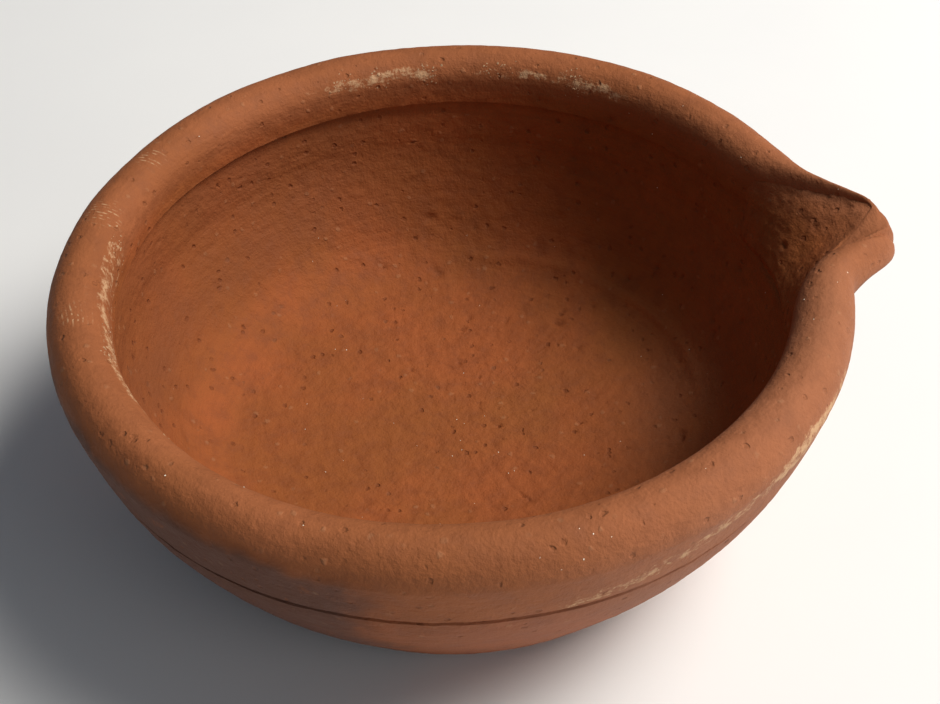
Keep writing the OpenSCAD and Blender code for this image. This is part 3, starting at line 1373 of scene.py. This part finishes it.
def crumbs_at(hand: MakerHand) -> Callable[[Vector, Vector], float]:
    """Make a rule that gathers crumbs in broken clusters where pale slip is rubbed on the rim.

    Args:
        hand: The maker's hand, which knows where the slip is.

    Returns:
        The rule, which gives the chance that a crumb stays at a point.
    """

    def share(point: Vector, outward: Vector) -> float:
        """Return the chance that a crumb stays at a point."""
        clustered = smooth(2.4 * noise.noise(point / (3.6 * MM)) - 0.1)
        return hand.pale(point, 1.0) * clustered

    return share


def anywhere_seen(point: Vector, outward: Vector) -> float:
    """Return the chance that a fleck stays at a point: only where the clay faces upwards or inwards."""
    inwards = -(outward.x * point.x + outward.y * point.y)
    return 1.0 if outward.z > 0.2 or inwards > 0.0 else 0.0


def glint_material(name: str, colour: Colour, roughness: float) -> bpy.types.Material:
    """Build the material of a mineral grain, which varies from grain to grain.

    Args:
        name: The material's name.
        colour: The palest colour of a grain.
        roughness: The roughness of the dimmest grain.

    Returns:
        The new material.
    """
    material, graph = new_material(name)
    vector = graph.node("TexCoord").outputs["Object"]
    tone = graph.band(graph.noise(vector, 1300.0, 2.0), 0.3, 0.7)
    dim = tuple(0.75 * part for part in colour)
    base = graph.blend(tone, opaque(dim), opaque(colour))
    rough = graph.math("MULTIPLY_ADD", tone, -0.15, roughness)
    graph.surface({"Base Color": base, "Roughness": rough})
    return material


@dataclass(frozen=True)
class SoftLight:
    """A square soft light: where it hangs round the lamp, in degrees and metres, its side and its watts."""

    name: str
    azimuth: float
    elevation: float
    distance: float
    side: float
    power: float
    colour: Colour

    def hang(self, target: Vector) -> None:
        """Hang the light.

        Args:
            target: The point that it faces.
        """
        data = bpy.data.lights.new(self.name, "AREA")
        data.size = self.side
        data.energy = self.power
        data.color = self.colour
        light = new_object(self.name, data)
        turn, rise = math.radians(self.azimuth), math.radians(self.elevation)
        level = math.cos(rise)
        back = Vector((level * math.cos(turn), level * math.sin(turn), math.sin(rise)))
        light.location = target + back * self.distance
        light.rotation_mode = "QUATERNION"
        light.rotation_quaternion = back.to_track_quat("Z", "Y")


KEY_LIGHT = SoftLight("key_light", 1.0, 53.0, 0.70, 0.38, 6.1, (1.0, 0.965, 0.90))
SIDE_LIGHT = SoftLight("side_light", -35.0, 12.0, 0.80, 0.45, 1.4, (1.0, 0.96, 0.92))


@dataclass
class Studio:
    """A pale floor, soft lights and the camera."""

    floor_size: float = 3.0
    floor_dim: Colour = (0.86, 0.86, 0.87)
    floor_pale: Colour = (0.90, 0.90, 0.90)
    air_colour: Colour = (0.78, 0.88, 1.0)
    air_strength: float = 0.13
    camera_azimuth: float = -3.19
    camera_elevation: float = 42.67
    camera_roll: float = -2.31
    camera_pan: float = 0.681
    camera_tilt: float = 0.805
    camera_distance: float = 0.150
    camera_lens: float = 54.8
    camera_sensor: float = 36.0
    camera_near: float = 0.01
    target: Vector = field(default_factory=lambda: Vector((0.0, 0.0, 0.020)))

    def build_floor(self) -> None:
        """Lay the floor."""
        grid = bmesh.new()
        bmesh.ops.create_grid(grid, x_segments=8, y_segments=8, size=self.floor_size / 2)
        mesh = bpy.data.meshes.new("floor")
        grid.to_mesh(mesh)
        grid.free()
        material, graph = new_material("pale_floor")
        tone = graph.noise(graph.node("TexCoord").outputs["Object"], 40.0, 3.0)
        colour = graph.blend(tone, opaque(self.floor_dim), opaque(self.floor_pale))
        graph.surface({"Base Color": colour, "Roughness": 0.9})
        mesh.materials.append(material)
        new_object("floor", mesh)

    def build_lights(self) -> None:
        """Hang the lights and set the air's own pale glow."""
        for light in (KEY_LIGHT, SIDE_LIGHT):
            light.hang(self.target)
        world = bpy.data.worlds.new("studio_air")
        world.use_nodes = True
        air = world.node_tree.nodes["Background"].inputs
        air["Color"].default_value = opaque(self.air_colour)
        air["Strength"].default_value = self.air_strength
        bpy.context.scene.world = world
        bpy.context.scene.view_settings.view_transform = "Standard"

    def build_camera(self) -> None:
        """Set up the camera: it faces the target, rolls, and then pans and tilts to frame the spout."""
        data = bpy.data.cameras.new("camera")
        data.lens = self.camera_lens
        data.sensor_width = self.camera_sensor
        data.clip_start = self.camera_near
        camera = new_object("camera", data)
        azimuth, elevation = math.radians(self.camera_azimuth), math.radians(self.camera_elevation)
        level = math.cos(elevation)
        back = Vector((level * math.sin(azimuth), -level * math.cos(azimuth), math.sin(elevation)))
        pose = Matrix.Translation(self.target + back * self.camera_distance)
        for angle, axis in (
            (azimuth, "Z"), (math.pi / 2 - elevation, "X"), (math.radians(self.camera_roll), "Z"),
            (-math.radians(self.camera_pan), "Y"), (-math.radians(self.camera_tilt), "X"),
        ):
            pose = pose @ Matrix.Rotation(angle, 4, axis)
        camera.matrix_world = pose
        bpy.context.scene.camera = camera


def build_finishes() -> dict[Member, bpy.types.Material]:
    """Build the four clays.

    Returns:
        The materials, by the member that each dresses.
    """
    effects = ClayEffects()
    rim_prints = (
        FingerPrint(around(164.0, 36.4 * MM, 31.2 * MM), Vector((0.25, 0.97, 0.0)), 2.6 * MM),
        FingerPrint(around(148.0, 36.4 * MM, 31.2 * MM), Vector((0.35, 0.94, 0.0)), 2.0 * MM),
        FingerPrint(around(-171.0, 36.6 * MM, 31.2 * MM), Vector((0.97, 0.2, 0.0)), 2.2 * MM),
    )
    finishes = {
        Member.SAUCER: ClayFinish("saucer_terracotta", FOOT_TONE),
        Member.WALL: ClayFinish("wall_terracotta", RIM_TONE),
        Member.COIL: ClayFinish(
            "rim_terracotta", RIM_TONE, pore_shade=0.45, grain_depth=0.19 * MM, prints=rim_prints
        ),
        Member.BED: ClayFinish("bed_terracotta", RIM_TONE, grain_depth=0.22 * MM),
    }
    return {member: finish.build(effects) for member, finish in finishes.items()}


def marked(places: tuple[tuple[float, float, float], ...]) -> tuple[Vector, ...]:
    """Return the points at angles in degrees, and radii and heights in millimetres."""
    return tuple(around(angle, radius * MM, height * MM) for angle, radius, height in places)


RIM_FLECKS = marked((
    (-84.3, 38.6, 31.0), (-79.3, 39.3, 30.2), (-81.2, 39.6, 29.6), (-79.0, 37.6, 31.3), (-96.0, 34.3, 30.4),
))
BOWL_FLECKS = marked((
    (118, 31.2, 12.3), (121, 29.9, 10.2), (132, 19.4, 5.5), (161, 17.5, 5.3), (174, 16.5, 5.2),
    (174, 31.0, 12.0), (-167.5, 12.9, 4.8), (-163, 15.1, 5.0), (118, 24.7, 6.3), (122, 24.4, 6.2),
))


def build_lamp() -> None:
    """Build the four members, and set crumbs and mica flecks into their surfaces."""
    form = LampForm()
    hand = MakerHand(form)
    clays = build_finishes()
    saucer = Saucer(form, hand, Member.SAUCER, Slot.SAUCER, clays[Member.SAUCER])
    wall = BowlWall(form, hand, Member.WALL, Slot.WALL, clays[Member.WALL])
    coil = RimCoil(form, hand, Member.COIL, Slot.RIM, clays[Member.COIL])
    bed = SpoutBed(form, hand, Member.BED, Slot.BED, clays[Member.BED])
    for member in (saucer, wall, coil, bed):
        member.build()
    cream = glint_material("pale_crumbs", (0.52, 0.31, 0.17), 0.85)
    # The mica's near-white colour is a painted glint.
    mica_glint = glint_material("mica_painted_glint", (1.0, 0.90, 0.74), 0.5)
    Speckle(
        "rim_crumbs", cream, Slot.RIM, seed=11, count=330, size=(0.07 * MM, 0.22 * MM),
        flatness=0.35, sink=0.3, where=crumbs_at(hand),
    ).build(coil.surface)
    Speckle(
        "rim_mica", mica_glint, Slot.RIM, seed=12, count=26, size=(0.05 * MM, 0.09 * MM),
        flatness=0.5, sink=0.1, where=anywhere_seen, placed=RIM_FLECKS,
    ).build(coil.surface)
    Speckle(
        "bowl_mica", mica_glint, Slot.SAUCER, seed=13, count=46, size=(0.045 * MM, 0.085 * MM),
        flatness=0.5, sink=0.1, where=anywhere_seen, placed=BOWL_FLECKS,
    ).build(saucer.surface)


def main() -> None:
    """Build the lamp and its studio."""
    logging.basicConfig(level=logging.INFO, format="%(name)s: %(message)s")
    build_lamp()
    studio = Studio()
    studio.build_floor()
    studio.build_lights()
    studio.build_camera()


if __name__ == "__main__":
    main()
